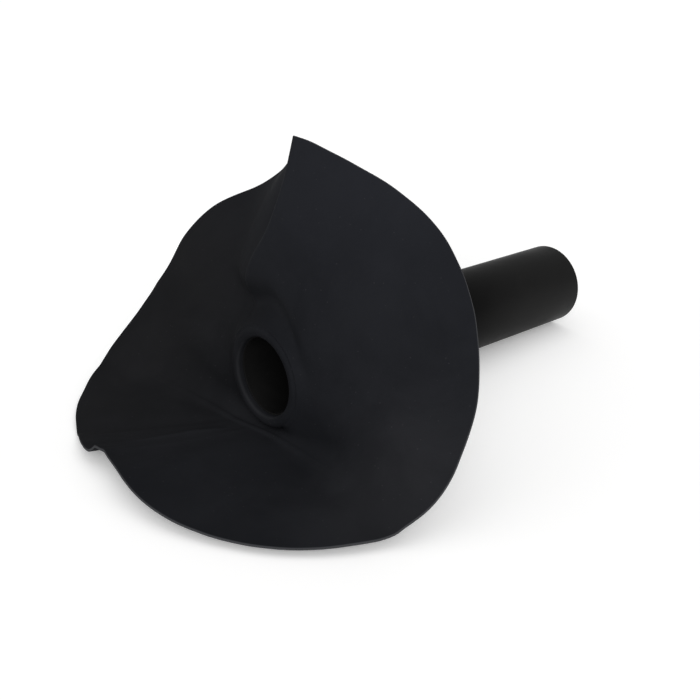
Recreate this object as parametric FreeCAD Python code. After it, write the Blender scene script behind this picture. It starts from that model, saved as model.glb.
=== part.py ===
import FreeCAD, Part
import math
import os

# Roof drain outlet in millimetres. The origin is the centre of the mouth, +X runs from the mouth
# along the pipe, +Y to the left seen from the front, +Z up. It lies as it comes to rest on a floor.

# pipe
pipe_diameter = 75.0
pipe_wall = 6.3
pipe_length = 350.0
pipe_edge = 0.6
pipe_tilt = 2.0

# moulded collar round the pipe
collar_wall = 5.0
sleeve_length = 46.0
sleeve_chamfer = 2.0
nose_reach = 4.6
nose_cover = 5.2

# sheet
sheet_diameter = 380.0
sheet_thickness = 2.2
sheet_set_back = 2.5
fold_radius = 8.0
fold_open_right = 45.0
fold_open_left = 60.0
fold_ease = 10.0
lean_power = 1.4
crest_turn = 62.0

# how finely the round forms are divided
angle_steps = 96
ring_steps = 15
ring_crowding = 1.25
nose_steps = 6

# Each row is one radial line of the sheet as it lies: its angle from the right, turning up and over
# to the left, the flat length lost there in small waves, and the angle by which the rim leans back
# from the flat plane (on the floor a negative lean lifts the rim).
stations = [
    (0, 0.0, 4.7), (10, 0.0, 11.7), (20, 0.0, 15.6), (30, 0.0, 19.0), (40, 0.0, 20.5),
    (50, 0.0, 20.3), (60, 0.0, 15.9), (70, 0.5, 10.9), (78, 1.0, 8.9), (84, 0.8, 8.2),
    (88, 1.5, 8.5), (91, 4.5, 13.0), (94, 7.5, 20.0), (98, 8.5, 26.5), (103, 5.0, 28.5),
    (110, 1.0, 29.5), (120, 0.0, 30.5), (130, 0.0, 31.4), (140, 0.0, 28.3),
    (150, 0.0, 19.4), (160, 0.0, 13.2), (170, 0.0, 8.8), (180, 0.0, 1.1), (190, 0.0, -3.2),
    (200, 0.0, -4.4), (208, 0.0, -3.2), (216, 1.0, -1.4), (224, 2.0, -0.8), (232, 4.0, -0.8),
    (240, 5.0, -0.6), (244, 5.5, -1.2), (247, 4.0, -3.2), (251, 2.0, -4.4), (256, 2.5, -5.4),
    (262, 8.0, -6.0), (266, 7.5, -6.0), (270, 5.5, -6.0), (278, 3.0, -4.4), (286, 1.5, -3.2),
    (300, 1.5, -1.8), (320, 1.5, -1.5), (340, 1.0, -2.1), (346, 1.0, -1.8), (352, 0.5, 0.3),
]

# moulded neck: angle, how far it spreads from the collar, and how far back the sheet lies there
neck_shape = [
    (0, 8.0, 0.5), (30, 7.0, 1.0), (45, 7.0, 2.0), (60, 9.0, 4.0), (74, 13.0, 6.5),
    (88, 17.0, 9.0), (102, 20.0, 12.0), (118, 20.0, 14.0), (135, 25.0, 15.0), (152, 33.0, 14.0),
    (168, 28.0, 10.0), (181, 13.0, 4.0), (200, 9.0, 0.0), (270, 7.0, 0.0), (330, 6.0, 0.0),
]
neck_fade = 1.25

# narrow folds: angle at the rim, angle at the neck, distance from the collar where it starts,
# depth and half width
narrow_folds = [
    (254.5, 250.5, 20.0, -4.5, 5.2),
    (343.0, 340.0, 108.0, 0.8, 6.0),
]
fold_run_in = 40.0

pipe_radius = pipe_diameter / 2
bore_radius = pipe_radius - pipe_wall
collar_radius = pipe_radius + collar_wall
sheet_radius = sheet_diameter / 2
tilt = math.radians(pipe_tilt)
mouth_height = pipe_length * math.sin(tilt) + pipe_radius * math.cos(tilt)
floor_level = -mouth_height + sheet_thickness / 2

V = FreeCAD.Vector


def along(angle, table, column):
    """A smooth value from a table of angles that closes on itself."""
    n = len(table)
    angle = angle % 360.0
    rows = [(row[0], row[column]) for row in table]
    rows = [(a - 360.0, v) for a, v in rows[-2:]] + rows + [(a + 360.0, v) for a, v in rows[:3]]
    i = 1
    while rows[i + 1][0] < angle:
        i += 1
    (ap, vp), (a0, v0), (a1, v1), (an, vn) = rows[i - 1:i + 3]
    h0 = a0 - ap
    h = a1 - a0
    h1 = an - a1
    m0 = ((v1 - v0) / h * h0 + (v0 - vp) / h0 * h) / (h + h0)
    m1 = ((vn - v1) / h1 * h + (v1 - v0) / h * h1) / (h + h1)
    t = (angle - a0) / h
    value = (1 + 2 * t) * (1 - t) ** 2 * v0 + t * (1 - t) ** 2 * h * m0
    return value + t * t * (3 - 2 * t) * v1 + t * t * (t - 1) * h * m1


def ease(x):
    x = min(max(x, 0.0), 1.0)
    return x * x * (3 - 2 * x)


def floor_fold(u, v, t):
    """Where a point of the standing sheet goes when its lower part is folded forward on the floor."""
    side = fold_open_right if u > 0 else fold_open_left
    r = fold_radius + side * (abs(u) / sheet_radius) ** 2 + fold_ease * 4 * t * (1 - t)
    down = floor_level + r - v
    if down <= 0:
        return 0.0, v, 0.0
    bend = down / r
    if bend < math.pi / 2:
        return -r * (1 - math.cos(bend)), floor_level + r - r * math.sin(bend), bend
    return -r - (down - r * math.pi / 2), floor_level, math.pi / 2


def neck_depth(angle, radius):
    depth = along(angle, neck_shape, 2)
    s = (radius - collar_radius) / along(angle, neck_shape, 1)
    if s < 1:
        return depth * (1.5 * s - 0.5 * s ** 3)
    return depth * math.exp(-((s - 1) / neck_fade) ** 2)


def fold_depth(angle, radius, t):
    depth = 0.0
    for rim_angle, neck_angle, start, height, width in narrow_folds:
        centre = neck_angle + (rim_angle - neck_angle) * t
        off = math.radians((angle - centre + 180) % 360 - 180) * radius
        depth += height * ease((radius - collar_radius - start) / fold_run_in) * math.exp(-(off / width) ** 2)
    return depth


def sheet_point(angle, t):
    """Middle of the sheet on one radial line, t from 0 at the collar to 1 at the rim."""
    reach = sheet_radius - along(angle, stations, 1)
    radius = collar_radius + t * (reach - collar_radius)
    # the top crest swings to the left on its way down to the neck
    turn = min(crest_turn * (1 - t) ** 3, 40.0) * ease((angle - 30) / 60) * (1 - ease((angle - 120) / 60))
    lean = math.radians(along(angle - turn, stations, 2))
    depth = sheet_radius * math.sin(lean) * max(t, 0.0) ** lean_power
    drawn_in = math.sqrt(radius ** 2 - depth ** 2)
    depth += neck_depth(angle, radius) + fold_depth(angle, radius, t)
    a = math.radians(angle)
    u = drawn_in * math.cos(a)
    x, z, bend = floor_fold(u, drawn_in * math.sin(a), min(max(t, 0.0), 1.0))
    start = (sheet_set_back + z * math.tan(tilt)) * max(1 - t, 0.0) ** 2
    return V(x + start + depth * math.cos(bend), -u, z - depth * math.sin(bend))


def sheet_side(side):
    """Rings of points on one face of the sheet, half the thickness off its middle: 1 back, -1 front."""
    start_t = -collar_wall / 2 / (sheet_radius - collar_radius)
    rings = []
    for j in range(ring_steps + 1):
        t = start_t + (1 - start_t) * (j / ring_steps) ** ring_crowding
        ring = []
        for i in range(angle_steps):
            angle = 360.0 * i / angle_steps
            round_way = sheet_point(angle + 0.5, t) - sheet_point(angle - 0.5, t)
            out_way = sheet_point(angle, min(t + 0.01, 1.0)) - sheet_point(angle, t - 0.01)
            normal = round_way.cross(out_way)
            normal.normalize()
            ring.append(sheet_point(angle, t) + normal * (side * sheet_thickness / 2))
        rings.append(ring)
    return rings


def facet(*corners):
    return Part.Face(Part.makePolygon(list(corners) + [corners[0]]))


def make_sheet():
    """Flat facets from ring to ring, over the back, round the rim, over the front and closed inside."""
    back = sheet_side(1)
    front = sheet_side(-1)
    rings = back + front[::-1] + back[:1]
    faces = []
    for ring, following in zip(rings, rings[1:]):
        for i in range(angle_steps):
            faces.append(facet(ring[i - 1], ring[i], following[i]))
            faces.append(facet(ring[i - 1], following[i], following[i - 1]))
    shell = Part.Shell(faces)
    shell.sewShape()
    solid = Part.Solid(shell)
    if solid.Volume < 0:
        solid.reverse()
    return solid


def turned(outline):
    """A ring turned about the pipe's axis from corners in x and radius."""
    corners = [V(x, radius, 0) for x, radius in outline]
    return facet(*corners).revolve(V(0, 0, 0), V(1, 0, 0), 360)


def make_collar():
    """A half round nose that covers the pipe's end, and a sleeve with a chamfered tail."""
    inner = pipe_radius - nose_cover
    middle = (collar_radius + inner) / 2
    outline = []
    for k in range(nose_steps + 1):
        sweep = math.pi * k / nose_steps
        outline.append((-nose_reach * math.sin(sweep), middle - (collar_radius - inner) / 2 * math.cos(sweep)))
    outline.append((sleeve_length - sleeve_chamfer, collar_radius))
    outline.append((sleeve_length, collar_radius - sleeve_chamfer))
    outline.append((sleeve_length, pipe_radius))
    outline.append((0, pipe_radius))
    return turned(outline)


def make_pipe():
    return turned([
        (0, bore_radius),
        (0, pipe_radius),
        (pipe_length - pipe_edge, pipe_radius),
        (pipe_length, pipe_radius - pipe_edge),
        (pipe_length, bore_radius),
    ])


def laid(shape):
    """Tilt a part about the mouth so the far end of the pipe rests on the floor."""
    shape.rotate(V(0, 0, 0), V(0, 1, 0), pipe_tilt)
    return shape


os.makedirs("parts", exist_ok=True)

pipe = laid(make_pipe())
pipe_space = Part.makeCylinder(pipe_radius, pipe_length, V(0, 0, 0), V(1, 0, 0))
flange = make_sheet().fuse(laid(make_collar())).cut(laid(pipe_space))

for name, shape in (("drain_pipe", pipe), ("flange", flange)):
    if len(shape.Solids) == 1:
        shape = shape.Solids[0]
    print(name, "solids", len(shape.Solids), "valid", shape.isValid(), "volume", round(shape.Volume))
    box = shape.BoundBox
    print("  box", [round(c, 2) for c in (box.XMin, box.XMax, box.YMin, box.YMax, box.ZMin, box.ZMax)])
    shape.exportStep("parts/" + name + ".step")
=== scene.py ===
import bpy
import math
import numpy as np
from mathutils import Matrix, Vector


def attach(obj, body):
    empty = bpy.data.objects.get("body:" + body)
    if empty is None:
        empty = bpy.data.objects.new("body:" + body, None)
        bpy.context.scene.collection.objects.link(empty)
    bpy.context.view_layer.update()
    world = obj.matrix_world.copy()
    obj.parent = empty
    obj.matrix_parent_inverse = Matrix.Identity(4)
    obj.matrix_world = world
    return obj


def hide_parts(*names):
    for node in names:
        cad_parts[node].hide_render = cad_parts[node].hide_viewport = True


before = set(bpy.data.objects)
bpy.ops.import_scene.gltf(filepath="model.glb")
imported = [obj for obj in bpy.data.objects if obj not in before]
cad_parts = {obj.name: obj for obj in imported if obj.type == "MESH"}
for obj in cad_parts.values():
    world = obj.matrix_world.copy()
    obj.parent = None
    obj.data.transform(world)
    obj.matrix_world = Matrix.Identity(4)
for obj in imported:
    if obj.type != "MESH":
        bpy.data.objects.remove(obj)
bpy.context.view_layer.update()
print("frame loaded")

# Sizes of pieces are in millimetres and degrees. Looks and the studio are in metres, like the meshes.
# The origin is the centre of the mouth, x runs along the pipe, y to the left seen from the front, z up.
mm = 0.001
scene = bpy.context.scene

# The sheet holds the mouth up, and the pipe's tilt brings its far end down to the floor.
layout = {
    "pipeTilt": 2.0,
    "pipeRadius": 37.5,
    "pipeLength": 350.0,
}
tilt = math.radians(layout["pipeTilt"])
mouthHeight = layout["pipeLength"] * math.sin(tilt) + layout["pipeRadius"] * math.cos(tilt)


def newObject(name, mesh, material):
    mesh.materials.clear()
    mesh.materials.append(material)
    piece = bpy.data.objects.new(name, mesh)
    scene.collection.objects.link(piece)
    return piece


def newMaterial(name):
    material = bpy.data.materials.new(name)
    material.use_nodes = True
    tree = material.node_tree
    return material, tree, tree.nodes["Principled BSDF"]


# Inputs come as pairs of a socket and either a value or another node's socket.
def addNode(tree, kind, inputs=(), **settings):
    node = tree.nodes.new(kind)
    for key, value in settings.items():
        setattr(node, key, value)
    for socket, value in inputs:
        if isinstance(value, bpy.types.NodeSocket):
            tree.links.new(value, node.inputs[socket])
        else:
            node.inputs[socket].default_value = value
    return node


def addMath(tree, operation, *values, **settings):
    return addNode(tree, "ShaderNodeMath", enumerate(values), operation=operation, **settings).outputs[0]


def mixColours(tree, factor, first, second, blend="MIX"):
    node = addNode(tree, "ShaderNodeMix", [(0, factor), (6, first), (7, second)],
                   data_type="RGBA", blend_type=blend)
    return node.outputs[2]


# softly from newLow at low to newHigh at high
def stretch(tree, value, low, high, newLow, newHigh):
    values = enumerate((value, low, high, newLow, newHigh))
    return addNode(tree, "ShaderNodeMapRange", values, interpolation_type="SMOOTHSTEP").outputs[0]


def objectPlace(tree):
    return tree.nodes.new("ShaderNodeTexCoord").outputs["Object"]


def axesOf(tree, place):
    return addNode(tree, "ShaderNodeSeparateXYZ", [(0, place)]).outputs


# pattern that both materials share: fine grain, broad clouds and scattered dust specks
pattern = {
    "grainDetail": 3.0,
    "grainRoughness": 0.6,
    "cloudDetail": 7.0,
    "cloudRoughness": 0.64,
    "cloudTwist": 0.4,
    "cloudLow": 0.3,
    "cloudHigh": 0.7,
    "speckCore": 0.10,
    "speckEdge": 0.20,
    "speckNone": 0.80,  # share of the cells that have no speck
    "speckFull": 0.98,
}


def makePattern():
    group = bpy.data.node_groups.new("surfaceLife", "ShaderNodeTree")
    for name in ("Grain Scale", "Cloud Scale", "Speck Scale"):
        group.interface.new_socket(name=name, in_out="INPUT", socket_type="NodeSocketFloat")
    for name in ("Grain", "Cloud", "Speck"):
        group.interface.new_socket(name=name, in_out="OUTPUT", socket_type="NodeSocketFloat")
    start = group.nodes.new("NodeGroupInput")
    end = group.nodes.new("NodeGroupOutput")
    place = objectPlace(group)
    grain = addNode(group, "ShaderNodeTexNoise", [
        ("Vector", place), ("Scale", start.outputs["Grain Scale"]),
        ("Detail", pattern["grainDetail"]), ("Roughness", pattern["grainRoughness"]),
    ])
    cloud = addNode(group, "ShaderNodeTexNoise", [
        ("Vector", place), ("Scale", start.outputs["Cloud Scale"]), ("Detail", pattern["cloudDetail"]),
        ("Roughness", pattern["cloudRoughness"]), ("Distortion", pattern["cloudTwist"]),
    ])
    cells = addNode(group, "ShaderNodeTexVoronoi", [
        ("Vector", place), ("Scale", start.outputs["Speck Scale"]), ("Randomness", 1.0),
    ])
    near = stretch(group, cells.outputs["Distance"], pattern["speckCore"], pattern["speckEdge"], 1.0, 0.0)
    lot = addNode(group, "ShaderNodeSeparateColor", [(0, cells.outputs["Color"])]).outputs[0]
    chosen = stretch(group, lot, pattern["speckNone"], pattern["speckFull"], 0.0, 1.0)
    group.links.new(grain.outputs[0], end.inputs["Grain"])
    group.links.new(cloud.outputs[0], end.inputs["Cloud"])
    group.links.new(addMath(group, "MULTIPLY", near, chosen), end.inputs["Speck"])
    return group


surfaceLife = makePattern()


def addPattern(tree, look):
    node = tree.nodes.new("ShaderNodeGroup")
    node.node_tree = surfaceLife
    node.inputs["Grain Scale"].default_value = look["grainScale"]
    node.inputs["Cloud Scale"].default_value = look["cloudScale"]
    node.inputs["Speck Scale"].default_value = look["speckScale"]
    return node.outputs["Grain"], node.outputs["Cloud"], node.outputs["Speck"]


def byCloud(tree, cloud, low, high):
    return stretch(tree, cloud, pattern["cloudLow"], pattern["cloudHigh"], low, high)


def finishSurface(tree, shader, look, base, grain, cloud):
    tree.links.new(base, shader.inputs["Base Color"])
    tree.links.new(byCloud(tree, cloud, look["roughLow"], look["roughHigh"]), shader.inputs["Roughness"])
    shader.inputs["Specular IOR Level"].default_value = look["shine"]
    bump = addNode(tree, "ShaderNodeBump", [
        ("Strength", look["grain"]), ("Distance", look["grainDepth"]), ("Height", grain),
    ])
    tree.links.new(bump.outputs[0], shader.inputs["Normal"])


# rubber of the flange
rubberLook = {
    "dark": (0.0093, 0.0099, 0.0119, 1.0),
    "light": (0.0131, 0.0138, 0.0164, 1.0),
    "leftShadeTint": (0.92, 0.88, 0.81, 1.0),
    "leftShadeFrom": -0.05,
    "leftShadeTo": 0.13,
    "pale": (0.0175, 0.0186, 0.0232, 1.0),
    "topLightFrom": 0.04,
    "topLightTo": 0.17,
    "topLightShare": 0.50,
    "dust": (0.034, 0.034, 0.037, 1.0),
    "speckDust": 0.5,
    "floorDust": 0.05,
    "floorDustFrom": -0.025,
    "floorDustTo": -0.045,
    "patchDustAndLight": 0.36,
    "patchCentre": (0.0, -0.165, -0.040),
    "patchNear": 0.010,
    "patchFar": 0.110,
    "patchUneven": (0.35, 0.65, 0.85, 1.1),  # the clouds' low and high, and the patch's share there
    "rimHighlight": (0.040, 0.041, 0.044, 1.0),
    "roughLow": 0.66,
    "roughHigh": 0.80,
    "shine": 0.02,
    "grain": 0.25,
    "grainDepth": 0.0003,
    "grainScale": 1100.0,
    "cloudScale": 13.0,
    "speckScale": 300.0,
}


def makeRubber():
    look = rubberLook
    material, tree, shader = newMaterial("rubberSheet")
    grain, cloud, speck = addPattern(tree, look)
    place = objectPlace(tree)
    axes = axesOf(tree, place)
    base = mixColours(tree, byCloud(tree, cloud, 0.0, 1.0), look["dark"], look["light"])
    leftShade = stretch(tree, axes["Y"], look["leftShadeFrom"], look["leftShadeTo"], 0.0, 1.0)  # painted shade, darker and warmer to the left
    base = mixColours(tree, leftShade, base, look["leftShadeTint"], "MULTIPLY")
    high = stretch(tree, axes["Z"], look["topLightFrom"], look["topLightTo"], 0.0, look["topLightShare"])
    base = mixColours(tree, high, base, look["pale"])  # painted light, paler at the top

    # dust in specks, over the floor part, and most of it in a patch in the right-hand bend; that patch is
    # also painted light that lifts the shade in the bend
    low = stretch(tree, axes["Z"], look["floorDustFrom"], look["floorDustTo"], 0.0, look["floorDust"])
    away = addNode(tree, "ShaderNodeVectorMath", [(0, place), (1, look["patchCentre"])], operation="DISTANCE")
    dustAndLightPatch = stretch(tree, away.outputs["Value"], look["patchNear"], look["patchFar"], look["patchDustAndLight"], 0.0)
    uneven = stretch(tree, cloud, *look["patchUneven"])
    settledDustAndLight = addMath(tree, "MULTIPLY_ADD", dustAndLightPatch, uneven, low)
    dustAndLightMask = addMath(tree, "MULTIPLY_ADD", speck, look["speckDust"], settledDustAndLight, use_clamp=True)
    base = mixColours(tree, dustAndLightMask, base, look["dust"])

    # painted highlight along the cut rim and the lip's inner edge
    edge = addNode(tree, "ShaderNodeAttribute", attribute_name="edgeHighlight")
    base = mixColours(tree, edge.outputs["Fac"], base, look["rimHighlight"])
    finishSurface(tree, shader, look, base, grain, cloud)
    return material


# satin plastic of the pipe
pipeLook = {
    "dark": (0.0055, 0.0055, 0.0055, 1.0),
    "light": (0.0080, 0.0079, 0.0078, 1.0),
    "sheetShadeTint": (0.15, 0.15, 0.15, 1.0),
    "sheetShadeAt": 0.155,
    "sheetShadeNear": 0.02,
    "sheetShadeFar": 0.12,
    "dust": (0.030, 0.029, 0.027, 1.0),
    "speckDust": 0.35,
    "roughLow": 0.42,
    "roughHigh": 0.52,
    "shine": 0.048,
    "grain": 0.10,
    "grainDepth": 0.0002,
    "grainScale": 700.0,
    "cloudScale": 22.0,
    "speckScale": 340.0,
}


def makePipePlastic():
    look = pipeLook
    material, tree, shader = newMaterial("pipePlastic")
    grain, cloud, speck = addPattern(tree, look)
    base = mixColours(tree, byCloud(tree, cloud, 0.0, 1.0), look["dark"], look["light"])
    alongPipe = axesOf(tree, objectPlace(tree))["X"]
    off = addMath(tree, "ABSOLUTE", addMath(tree, "SUBTRACT", alongPipe, look["sheetShadeAt"]))
    sheetShade = stretch(tree, off, look["sheetShadeNear"], look["sheetShadeFar"], 1.0, 0.0)  # painted shade, darker behind the sheet
    base = mixColours(tree, sheetShade, base, look["sheetShadeTint"], "MULTIPLY")
    base = mixColours(tree, addMath(tree, "MULTIPLY", speck, look["speckDust"]), base, look["dust"])
    finishSurface(tree, shader, look, base, grain, cloud)
    return material


rubber = makeRubber()
pipePlastic = makePipePlastic()
print("materials made")


# The meshes are closed, so one that encloses a negative volume has all its faces turned over.
def faceOutward(mesh):
    mesh.calc_loop_triangles()
    points = np.empty(len(mesh.vertices) * 3)
    mesh.vertices.foreach_get("co", points)
    corners = np.empty(len(mesh.loop_triangles) * 3, dtype=np.int32)
    mesh.loop_triangles.foreach_get("vertices", corners)
    a, b, c = points.reshape(-1, 3)[corners.reshape(-1, 3)].transpose(1, 0, 2)
    volume = np.einsum("ij,ij->i", a, np.cross(b, c)).sum() / 6
    if volume < 0:
        mesh.flip_normals()
    print(mesh.name, "holds", round(abs(volume) * 1e6, 1), "cm3,", len(mesh.loop_triangles), "triangles")


# The pipe is a wall section with broken edges, carried round a circle, stood on its end and laid down.
pipeSizes = {
    "wall": 6.3,
    "edge": 0.6,
    "edgeSteps": 4,
    "roundSteps": 256,
    "sharpAngle": 50.0,
}


def makePipeRule():
    group = bpy.data.node_groups.new("pipeRule", "GeometryNodeTree")
    group.interface.new_socket(name="Geometry", in_out="INPUT", socket_type="NodeSocketGeometry")
    sizes = {}
    for name, value in (("Radius", layout["pipeRadius"]), ("Wall", pipeSizes["wall"]),
                        ("Length", layout["pipeLength"]), ("Edge", pipeSizes["edge"])):
        socket = group.interface.new_socket(name=name, in_out="INPUT", socket_type="NodeSocketFloat")
        sizes[socket.identifier] = value * mm
    group.interface.new_socket(name="Geometry", in_out="OUTPUT", socket_type="NodeSocketGeometry")
    start = group.nodes.new("NodeGroupInput").outputs
    end = group.nodes.new("NodeGroupOutput")
    middle = addMath(group, "SUBTRACT", start["Radius"], addMath(group, "MULTIPLY", start["Wall"], 0.5))
    halfLength = addMath(group, "MULTIPLY", start["Length"], 0.5)
    section = addNode(group, "GeometryNodeCurvePrimitiveQuadrilateral",
                      [("Width", start["Wall"]), ("Height", start["Length"])])
    rounded = addNode(group, "GeometryNodeFilletCurve", mode="POLY", inputs=[
        ("Curve", section.outputs[0]), ("Radius", start["Edge"]), ("Count", pipeSizes["edgeSteps"]),
    ])
    circle = addNode(group, "GeometryNodeCurvePrimitiveCircle",
                     [("Resolution", pipeSizes["roundSteps"]), ("Radius", middle)])
    upright = addNode(group, "GeometryNodeSetCurveNormal", [("Curve", circle.outputs[0])], mode="Z_UP")
    wall = addNode(group, "GeometryNodeCurveToMesh",
                   [("Curve", upright.outputs[0]), ("Profile Curve", rounded.outputs[0])])
    offset = addNode(group, "ShaderNodeCombineXYZ", [("Z", halfLength)]).outputs[0]
    stood = addNode(group, "GeometryNodeTransform",
                    [("Geometry", wall.outputs[0]), ("Translation", offset)])
    laid = addNode(group, "GeometryNodeTransform",
                   [("Geometry", stood.outputs[0]), ("Rotation", (0.0, math.pi / 2 + tilt, 0.0))])
    coated = addNode(group, "GeometryNodeSetMaterial",
                     [("Geometry", laid.outputs[0]), ("Material", pipePlastic)])
    whole = addNode(group, "GeometryNodeRealizeInstances", [("Geometry", coated.outputs[0])])
    group.links.new(whole.outputs[0], end.inputs[0])
    return group, sizes


def makePipe():
    group, sizes = makePipeRule()
    carrier = newObject("pipeCarrier", bpy.data.meshes.new("pipeCarrier"), pipePlastic)
    modifier = carrier.modifiers.new("pipeRule", "NODES")
    modifier.node_group = group
    for identifier, value in sizes.items():
        modifier[identifier] = value
    depsgraph = bpy.context.evaluated_depsgraph_get()
    mesh = bpy.data.meshes.new_from_object(carrier.evaluated_get(depsgraph), depsgraph=depsgraph)
    bpy.data.objects.remove(carrier)
    mesh.name = "outletPipe"
    faceOutward(mesh)
    mesh.shade_smooth()
    mesh.set_sharp_from_angle(angle=math.radians(pipeSizes["sharpAngle"]))
    return newObject("outletPipe", mesh, pipePlastic)


pipe = makePipe()
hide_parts("drain_pipe")
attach(pipe, "root")
print("pipe made")


# Collar: a half round nose over the pipe's end and a sleeve along it. It is crisp against the sheet
# below and to the left, and runs softly into it elsewhere. A band holds the angle where it starts, the run
# of that start, the angle where it ends and the run of that end.
collarSizes = {
    "wall": 5.0,
    "sleeveLength": 46.0,
    "sleeveChamfer": 2.0,
    "chamferBow": 0.6,
    "sleeveLead": 0.3,
    "sleeveLeadLength": 0.4,
    "sleeveRings": (0.06, 0.2, 0.4, 0.7, 1.0),
    "insideRing": 20.0,
    "endCover": 3.0,
    "noseReach": 5.6,
    "noseCover": 5.2,
    "noseSteps": 16,
    "noseSquare": 0.5,
    "softEnd": 48.0,
    "filletWidth": 6.5,
    "grooveDepth": 3.2,
    "grooveWidth": 2.3,
    "grooveUndercut": 0.8,
    "joinAt": 0.5,
    "joinShift": 0.35,
    "crispBand": (150.0, 36.0, 278.0, 36.0),
    "backFillet": 2.2,
    "backFilletWidth": 2.4,
    "lipHighlight": (0.0, 0.0, 0.10, 0.24, 0.24, 0.10),  # painted highlight for the first rings of the nose
    "lipHighlightAt": 235.0,
    "lipHighlightMean": 0.6,
    "lipHighlightSwing": 0.4,
}

sheetSizes = {
    "diameter": 380.0,
    "thickness": 2.2,
    "setBack": 2.5,
    "foldRadius": 8.0,
    "foldOpenRight": 45.0,
    "foldOpenLeft": 60.0,
    "foldEase": 10.0,
    "foldRunIn": 40.0,
    "leanPower": 1.4,
    "crestTurn": 62.0,
    "crestTurnMost": 40.0,
    "crestBand": (30.0, 60.0, 120.0, 60.0),
    "neckFade": 1.25,
    "shoulderBand": (125.0, 30.0, 190.0, 20.0),
    "edgeBevel": 0.35,
    "cutWander": 0.12,
    "cutInset": 2.2,
    "cutWaves": [(7, 20, 1.0), (17, 110, 0.7), (41, 0, 0.5)],  # waves round the rim, start, share
    "collarBlend": 4.0,
    "roundSteps": 500,
    "fineSteps": 1440,
    "crowdedAt": [(253.5, 7.0, 3.5), (93.0, 9.0, 1.0)],  # angle, width, how much denser
    "frontRings": 96,
    "frontCrowding": 1.15,
    "backRings": 44,
    "backCrowding": 1.2,
    "sharpAngle": 38.0,
}

# angle from the right turning up and over to the left, flat length lost in small waves, lean of the rim
# back from the flat plane (on the floor a negative lean lifts it)
stations = [
    (0, 0.0, 4.7), (10, 0.0, 11.7), (20, 0.0, 15.6), (30, 0.0, 19.0), (40, 0.0, 20.5),
    (50, 0.0, 20.3), (60, 0.0, 15.9), (70, 0.5, 10.9), (78, 1.0, 8.9), (84, 0.8, 8.2),
    (88, 1.5, 8.5), (91, 4.5, 13.0), (94, 7.5, 20.0), (98, 8.5, 26.5), (103, 5.0, 28.5),
    (110, 1.0, 29.5), (120, 0.0, 30.5), (130, 0.0, 31.4), (140, 0.0, 28.3),
    (150, 0.0, 19.4), (160, 0.0, 13.2), (170, 0.0, 8.8), (180, 0.0, 1.1), (190, 0.0, -3.2),
    (200, 0.0, -4.4), (208, 0.0, -3.2), (216, 1.0, -1.4), (224, 2.0, -0.8), (232, 4.0, -0.8),
    (240, 5.0, -0.6), (244, 5.2, -2.0), (247, 4.9, -2.5), (250, 4.8, -3.0), (252, 5.3, -2.9),
    (254, 7.1, -2.9), (256, 9.4, -3.4), (258, 10.5, -4.8), (260, 12.0, -5.4), (262, 12.0, -5.1),
    (266, 10.6, -5.2), (270, 7.8, -5.6), (274, 5.4, -5.3), (278, 3.8, -4.4), (286, 1.5, -3.2),
    (300, 1.5, -1.8), (320, 1.5, -1.5), (340, 1.0, -2.1), (346, 1.0, -1.8), (352, 0.5, 0.3),
]

# angle, how far the moulded neck spreads from the collar, how far back the sheet lies there
neckShape = [
    (0, 8.0, 0.5), (30, 5.0, 1.5), (45, 5.0, 3.0), (60, 6.5, 4.5), (74, 8.5, 6.5),
    (88, 10.5, 9.0), (102, 12.5, 11.5), (118, 13.5, 13.5), (135, 18.0, 14.5), (152, 30.0, 14.0),
    (168, 31.0, 10.5), (183, 22.0, 5.5), (200, 12.0, 1.5), (225, 8.0, 0.0), (270, 7.0, 0.0),
    (330, 6.0, 0.0),
]

# angle at the rim, angle at the neck, start from the collar, depth, half width
narrowFolds = [
    (256.3, 253.0, 20.0, -4.3, 5.5),
    (256.3, 253.0, 12.0, -0.6, 1.5),
    (343.0, 340.0, 108.0, 0.8, 6.0),
]

# pressed line just under the collar where the sheet folds on to the floor, in the flat sheet's
# left-right and up-down
crease = {
    "level": -49.8,
    "slope": 0.04,
    "dip": 4.0,
    "dipAt": -25.0,
    "dipWidth": 30.0,
    "height": 1.1,
    "width": 1.9,
    "fadeFrom": 60.0,
    "fadeRun": 100.0,
    "collarRun": 6.0,
}

sheetRadius = sheetSizes["diameter"] / 2
collarRadius = layout["pipeRadius"] + collarSizes["wall"]
sheetSpan = sheetRadius - collarRadius
halfThickness = sheetSizes["thickness"] / 2
floorLevel = -mouthHeight + halfThickness


# a smooth function of the angle through one column of a table that closes on itself
def smoothTable(table, column):
    angles = np.array([row[0] for row in table], dtype=float)
    values = np.array([row[column] for row in table], dtype=float)
    angles = np.concatenate((angles[-2:] - 360, angles, angles[:2] + 360))
    values = np.concatenate((values[-2:], values, values[:2]))
    gap = np.diff(angles)
    rise = np.diff(values) / gap
    slope = (rise[1:] * gap[:-1] + rise[:-1] * gap[1:]) / (gap[1:] + gap[:-1])
    slope = np.concatenate(([0.0], slope, [0.0]))

    def value(angle):
        angle = np.mod(angle, 360.0)
        i = np.searchsorted(angles, angle, side="right") - 1
        h = gap[i]
        t = (angle - angles[i]) / h
        start = (1 + 2 * t) * (1 - t) ** 2 * values[i] + t * (1 - t) ** 2 * h * slope[i]
        return start + t * t * (3 - 2 * t) * values[i + 1] + t * t * (t - 1) * h * slope[i + 1]

    return value


lostAt = smoothTable(stations, 1)
leanAt = smoothTable(stations, 2)
neckSpreadAt = smoothTable(neckShape, 1)
neckDepthAt = smoothTable(neckShape, 2)


def ease(x):
    x = np.clip(x, 0.0, 1.0)
    return x * x * (3 - 2 * x)


# 1 inside a band and 0 outside it
def inBand(angle, band):
    start, startRun, end, endRun = band
    return ease((angle - start) / startRun) * (1 - ease((angle - end) / endRun))


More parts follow.
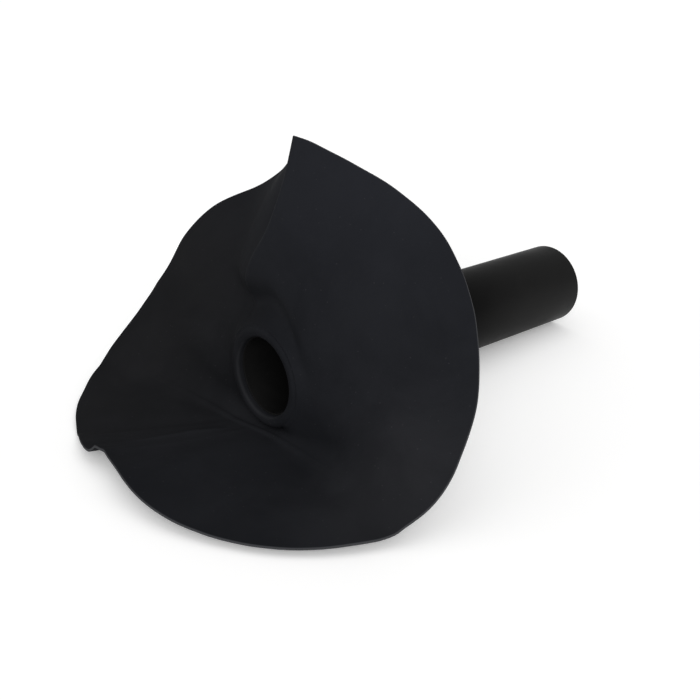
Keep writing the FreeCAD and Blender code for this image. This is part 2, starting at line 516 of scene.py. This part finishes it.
# What would stand below the floor is folded forward along it, round a bend that opens to the sides.
def floorFold(u, v, t):
    side = np.where(u > 0, sheetSizes["foldOpenRight"], sheetSizes["foldOpenLeft"])
    r = sheetSizes["foldRadius"] + side * (np.abs(u) / sheetRadius) ** 2
    r = r + sheetSizes["foldEase"] * 4 * t * (1 - t)
    down = floorLevel + r - v
    bend = np.clip(down / r, 0.0, math.pi / 2)
    flat = np.maximum(down - r * math.pi / 2, 0.0)
    x = -r * (1 - np.cos(bend)) - flat
    z = np.where(down > 0, floorLevel + r - r * np.sin(bend), v)
    return x, z, bend


def neckDepth(angle, radius):
    s = (radius - collarRadius) / neckSpreadAt(angle)
    shoulder = inBand(angle, sheetSizes["shoulderBand"])  # on the left it drops further out
    near = (1.5 * s - 0.5 * s ** 3) * (1 - shoulder) + s * s * (3 - 2 * s) * shoulder
    faded = np.exp(-((s - 1) / sheetSizes["neckFade"]) ** 2)
    return neckDepthAt(angle) * np.where(s < 1, near, faded)


def foldDepth(angle, radius, t):
    depth = 0.0
    for rimAngle, neckAngle, start, height, width in narrowFolds:
        centre = neckAngle + (rimAngle - neckAngle) * t
        off = np.radians(np.mod(angle - centre + 180, 360) - 180) * radius
        run = ease((radius - collarRadius - start) / sheetSizes["foldRunIn"])
        depth = depth + height * run * np.exp(-(off / width) ** 2)
    return depth


# a low ridge that fades towards the collar and the rim
def creaseDepth(u, v, radius):
    c = crease
    line = c["level"] + c["slope"] * u - c["dip"] * np.exp(-((u - c["dipAt"]) / c["dipWidth"]) ** 2)
    height = c["height"] * (1 - ease((np.abs(u) - c["fadeFrom"]) / c["fadeRun"]))
    height = height * ease((radius - collarRadius) / c["collarRun"])
    return -height * np.exp(-((v - line) / c["width"]) ** 2)


# middle of the sheet, t from 0 at the collar to 1 at the rim
def sheetMiddle(angle, t):
    radius = collarRadius + t * (sheetRadius - lostAt(angle) - collarRadius)
    turn = np.minimum(sheetSizes["crestTurn"] * (1 - t) ** 3, sheetSizes["crestTurnMost"])
    lean = np.radians(leanAt(angle - turn * inBand(angle, sheetSizes["crestBand"])))
    depth = sheetRadius * np.sin(lean) * np.maximum(t, 0.0) ** sheetSizes["leanPower"]
    drawnIn = np.sqrt(radius ** 2 - depth ** 2)
    u = drawnIn * np.cos(np.radians(angle))
    v = drawnIn * np.sin(np.radians(angle))
    depth = depth + neckDepth(angle, radius) + foldDepth(angle, radius, t) + creaseDepth(u, v, radius)
    x, z, bend = floorFold(u, v, np.clip(t, 0.0, 1.0))
    x = x + (sheetSizes["setBack"] + z * math.tan(tilt)) * np.maximum(1 - t, 0.0) ** 2
    return np.stack((x + depth * np.cos(bend), -u, z - depth * np.sin(bend)), axis=-1)


# point at an offset from the sheet's middle, square to it but along the pipe at the collar
def sheetSkin(angle, t, offset):
    turnStep = 0.4
    outStep = 0.005
    roundWay = sheetMiddle(angle + turnStep, t) - sheetMiddle(angle - turnStep, t)
    outWay = sheetMiddle(angle, np.minimum(t + outStep, 1.0)) - sheetMiddle(angle, t - outStep)
    normal = np.cross(outWay, roundWay)
    normal /= np.linalg.norm(normal, axis=-1, keepdims=True)
    share = np.exp(-(t * sheetSpan / sheetSizes["collarBlend"]) ** 2)[..., None]
    normal = normal * (1 - share) + np.array((-1.0, 0.0, 0.0)) * share
    normal /= np.linalg.norm(normal, axis=-1, keepdims=True)
    return sheetMiddle(angle, t) + normal * offset


def collarPoint(x, radius, angle):
    y = -radius * np.cos(np.radians(angle))
    z = radius * np.sin(np.radians(angle))
    return np.stack((x * math.cos(tilt) + z * math.sin(tilt), y, z * math.cos(tilt) - x * math.sin(tilt)),
                    axis=-1)


# angles round the piece, closer together where a fold is narrow
def roundAngles():
    fine = np.linspace(0.0, 360.0, sheetSizes["fineSteps"] + 1)
    density = 1.0
    for at, width, more in sheetSizes["crowdedAt"]:
        density = density + more * np.exp(-((fine - at) / width) ** 2)
    count = np.concatenate(([0.0], np.cumsum((density[1:] + density[:-1]) / 2)))
    steps = sheetSizes["roundSteps"]
    return np.interp(np.arange(steps) * count[-1] / steps, count, fine)


# the cut edge isn't a true round: what it wanders, as a share of the sheet's span
def cutWander(angle):
    waves = sum(share * np.sin(np.radians(angle * count + start))
                for count, start, share in sheetSizes["cutWaves"])
    return sheetSizes["cutWander"] * (waves - sheetSizes["cutInset"]) / sheetSpan


def ringAt(share, wander):
    return share * (1 + wander * share - sheetSizes["edgeBevel"] / sheetSpan)


# from inside the mouth over the lip to the sheet, squarer on the inner half
def makeNose(angle, crisp):
    c = collarSizes
    inner = layout["pipeRadius"] - c["noseCover"]
    middle = (inner + collarRadius) / 2
    reach = (collarRadius - inner) / 2
    lastSweep = 180 - c["softEnd"] * (1 - crisp)
    rings = []
    for k in range(c["noseSteps"] + 1):
        sweep = np.radians(lastSweep * k / c["noseSteps"])
        rise = np.sin(sweep)
        if k * 2 < c["noseSteps"]:
            rise = rise ** c["noseSquare"]
        rings.append(collarPoint(-c["noseReach"] * rise, middle - reach * np.cos(sweep), angle))
    return rings


# The sheet's front is lifted to meet the nose where the join is soft, and grooved where it is crisp.
def makeFront(angle, crisp, wander, noseEnd):
    c = collarSizes
    first = sheetSkin(angle, np.zeros_like(angle), halfThickness)
    lift = (noseEnd[:, 0] - first[:, 0]) * (1 - crisp)
    sink = c["grooveDepth"] * crisp
    first[:, 0] += lift + sink
    join = first + (noseEnd - first) * (c["joinAt"] - c["joinShift"] * crisp)[:, None]
    join -= (first * (0, 1, 1)) * (crisp * c["grooveUndercut"] / collarRadius)[:, None]
    rings = [join]
    for j in range(sheetSizes["frontRings"] + 1):
        t = ringAt((j / sheetSizes["frontRings"]) ** sheetSizes["frontCrowding"], wander)
        ring = sheetSkin(angle, t, halfThickness)
        ring[:, 0] += lift * np.exp(-(t * sheetSpan / c["filletWidth"]))
        ring[:, 0] += sink * np.exp(-(t * sheetSpan / c["grooveWidth"]) ** 2)
        rings.append(ring)
    return rings


# cut edge with its corners broken
def makeRim(angle, wander):
    inset = halfThickness - sheetSizes["edgeBevel"]
    return [sheetSkin(angle, 1 + wander, offset) for offset in (inset, 0.0, -inset)]


# from the rim to the sleeve, with a fillet on to it
def makeBack(angle, wander):
    rings = []
    for j in range(sheetSizes["backRings"], -1, -1):
        t = ringAt((j / sheetSizes["backRings"]) ** sheetSizes["backCrowding"], wander)
        ring = sheetSkin(angle, t, -halfThickness)
        ring[:, 0] += collarSizes["backFillet"] * np.exp(-(t * sheetSpan / collarSizes["backFilletWidth"]))
        rings.append(ring)
    return rings


# along the pipe to the chamfered tail, and back inside to the pipe's end under the nose
def makeSleeve(angle, backEnd):
    c = collarSizes
    end = c["sleeveLength"]
    bore = layout["pipeRadius"]
    foot = backEnd @ np.array((math.cos(tilt), 0.0, -math.sin(tilt)))
    tail = end - c["sleeveChamfer"]
    rings = [collarPoint(foot + (tail - foot) * share, collarRadius, angle) for share in c["sleeveRings"]]
    section = [
        (end - c["chamferBow"], collarRadius - c["chamferBow"]),
        (end, collarRadius - c["sleeveChamfer"]),
        (end, bore + c["sleeveLead"]),
        (end - c["sleeveLeadLength"], bore),
        (c["insideRing"], bore),
        (0.0, bore),
        (0.0, bore - c["endCover"]),
    ]
    return rings + [collarPoint(x, radius, angle) for x, radius in section]


# one closed skin: each ring is joined to the next, and the last to the first
def skinOver(name, rings):
    steps = len(rings[0])
    faces = []
    for j in range(len(rings)):
        low = j * steps
        high = (j + 1) % len(rings) * steps
        for i in range(steps):
            k = (i + 1) % steps
            faces.append((low + i, low + k, high + k, high + i))
    mesh = bpy.data.meshes.new(name)
    mesh.from_pydata((np.concatenate(rings) * mm).tolist(), [], faces)
    mesh.validate()
    faceOutward(mesh)
    mesh.shade_smooth()
    return mesh


def makeFlange():
    c = collarSizes
    angle = roundAngles()
    crisp = inBand(angle, c["crispBand"])
    wander = cutWander(angle)
    nose = makeNose(angle, crisp)
    front = makeFront(angle, crisp, wander, nose[-1])
    rim = makeRim(angle, wander)
    back = makeBack(angle, wander)
    sleeve = makeSleeve(angle, back[-1])
    rings = nose + front + rim + back + sleeve
    mesh = skinOver("sheetFlange", rings)
    mesh.set_sharp_from_angle(angle=math.radians(sheetSizes["sharpAngle"]))

    # painted highlight: the cut rim is pale all round, and the lip's inner edge a little, mostly below
    pale = np.zeros((len(rings), len(angle)), dtype=np.float32)
    rimStart = len(nose) + len(front)
    pale[rimStart:rimStart + len(rim)] = 1.0
    below = np.cos(np.radians(angle - c["lipHighlightAt"]))
    for k, share in enumerate(c["lipHighlight"]):
        pale[k] = share * (c["lipHighlightMean"] + c["lipHighlightSwing"] * below)
    mesh.attributes.new("edgeHighlight", "FLOAT", "POINT").data.foreach_set("value", pale.ravel())
    return newObject("sheetFlange", mesh, rubber)


flange = makeFlange()
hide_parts("flange")
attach(flange, "root")
print("flange made")


# pale floor under white, soft studio light
studio = {
    "floorSize": 12.0,
    "floorGap": 0.0003,
    "floorPale": (0.95, 0.95, 0.95, 1.0),
    "floorWarm": (0.94525, 0.94335, 0.9386, 1.0),
    "floorCloudScale": 3.0,
    "floorCloudDetail": 3.0,
    "floorRoughness": 0.8,
    "floorGlow": 0.18,
    "white": (1.0, 1.0, 1.0, 1.0),
    "worldStrength": 0.60,
    "lamps": [
        ("overhead", (0.3, -0.3, 2.0), 60.0, 0.40),  # name, place, angle across, strength
        ("front", (-0.9, -1.4, 0.8), 50.0, 1.6),
    ],
    "lampAim": (0.05, 0.0, 0.05),
    "cameraPlace": (-0.4145, -0.5690, 0.3519),
    "cameraForward": (0.5983, 0.6790, -0.4255),
    "cameraUp": (0.2813, 0.3193, 0.9050),
    "sensor": 36.0,
    "lens": 51.37,
}


def makeFloor():
    material, tree, shader = newMaterial("studioFloor")
    noise = addNode(tree, "ShaderNodeTexNoise", [
        ("Vector", objectPlace(tree)), ("Scale", studio["floorCloudScale"]),
        ("Detail", studio["floorCloudDetail"]),
    ])
    base = mixColours(tree, noise.outputs[0], studio["floorPale"], studio["floorWarm"])
    tree.links.new(base, shader.inputs["Base Color"])
    shader.inputs["Roughness"].default_value = studio["floorRoughness"]
    shader.inputs["Emission Color"].default_value = studio["white"]
    shader.inputs["Emission Strength"].default_value = studio["floorGlow"]
    size = studio["floorSize"] / 2
    z = -mouthHeight * mm - studio["floorGap"]
    mesh = bpy.data.meshes.new("studioFloor")
    corners = [(-size, -size, z), (size, -size, z), (size, size, z), (-size, size, z)]
    mesh.from_pydata(corners, [], [(0, 1, 2, 3)])
    newObject("studioFloor", mesh, material)


# soft light for the piece, plain white for what the camera sees behind it
def makeWorld():
    world = bpy.data.worlds.new("studioWorld")
    scene.world = world
    world.use_nodes = True
    tree = world.node_tree
    tree.nodes.clear()
    soft = addNode(tree, "ShaderNodeBackground",
                   [("Color", studio["white"]), ("Strength", studio["worldStrength"])])
    white = addNode(tree, "ShaderNodeBackground", [("Color", studio["white"]), ("Strength", 1.0)])
    ray = tree.nodes.new("ShaderNodeLightPath")
    mix = addNode(tree, "ShaderNodeMixShader",
                  [(0, ray.outputs["Is Camera Ray"]), (1, soft.outputs[0]), (2, white.outputs[0])])
    end = tree.nodes.new("ShaderNodeOutputWorld")
    tree.links.new(mix.outputs[0], end.inputs[0])


def makeLamps():
    for name, place, across, strength in studio["lamps"]:
        lamp = bpy.data.lights.new(name, "SUN")
        lamp.angle = math.radians(across)
        lamp.energy = strength
        holder = bpy.data.objects.new(name, lamp)
        scene.collection.objects.link(holder)
        holder.location = place
        toAim = Vector(studio["lampAim"]) - Vector(place)
        holder.rotation_euler = toAim.to_track_quat("-Z", "Y").to_euler()


def makeCamera():
    camera = bpy.data.cameras.new("photoCamera")
    camera.sensor_width = studio["sensor"]
    camera.lens = studio["lens"]
    holder = bpy.data.objects.new("photoCamera", camera)
    scene.collection.objects.link(holder)
    forward = Vector(studio["cameraForward"]).normalized()
    right = forward.cross(Vector(studio["cameraUp"])).normalized()
    up = right.cross(forward)
    turn = Matrix((right, up, -forward)).transposed().to_4x4()
    turn.translation = Vector(studio["cameraPlace"])
    holder.matrix_world = turn
    scene.camera = holder


makeFloor()
makeWorld()
makeLamps()
makeCamera()
scene.view_settings.view_transform = "Standard"
print("studio made")
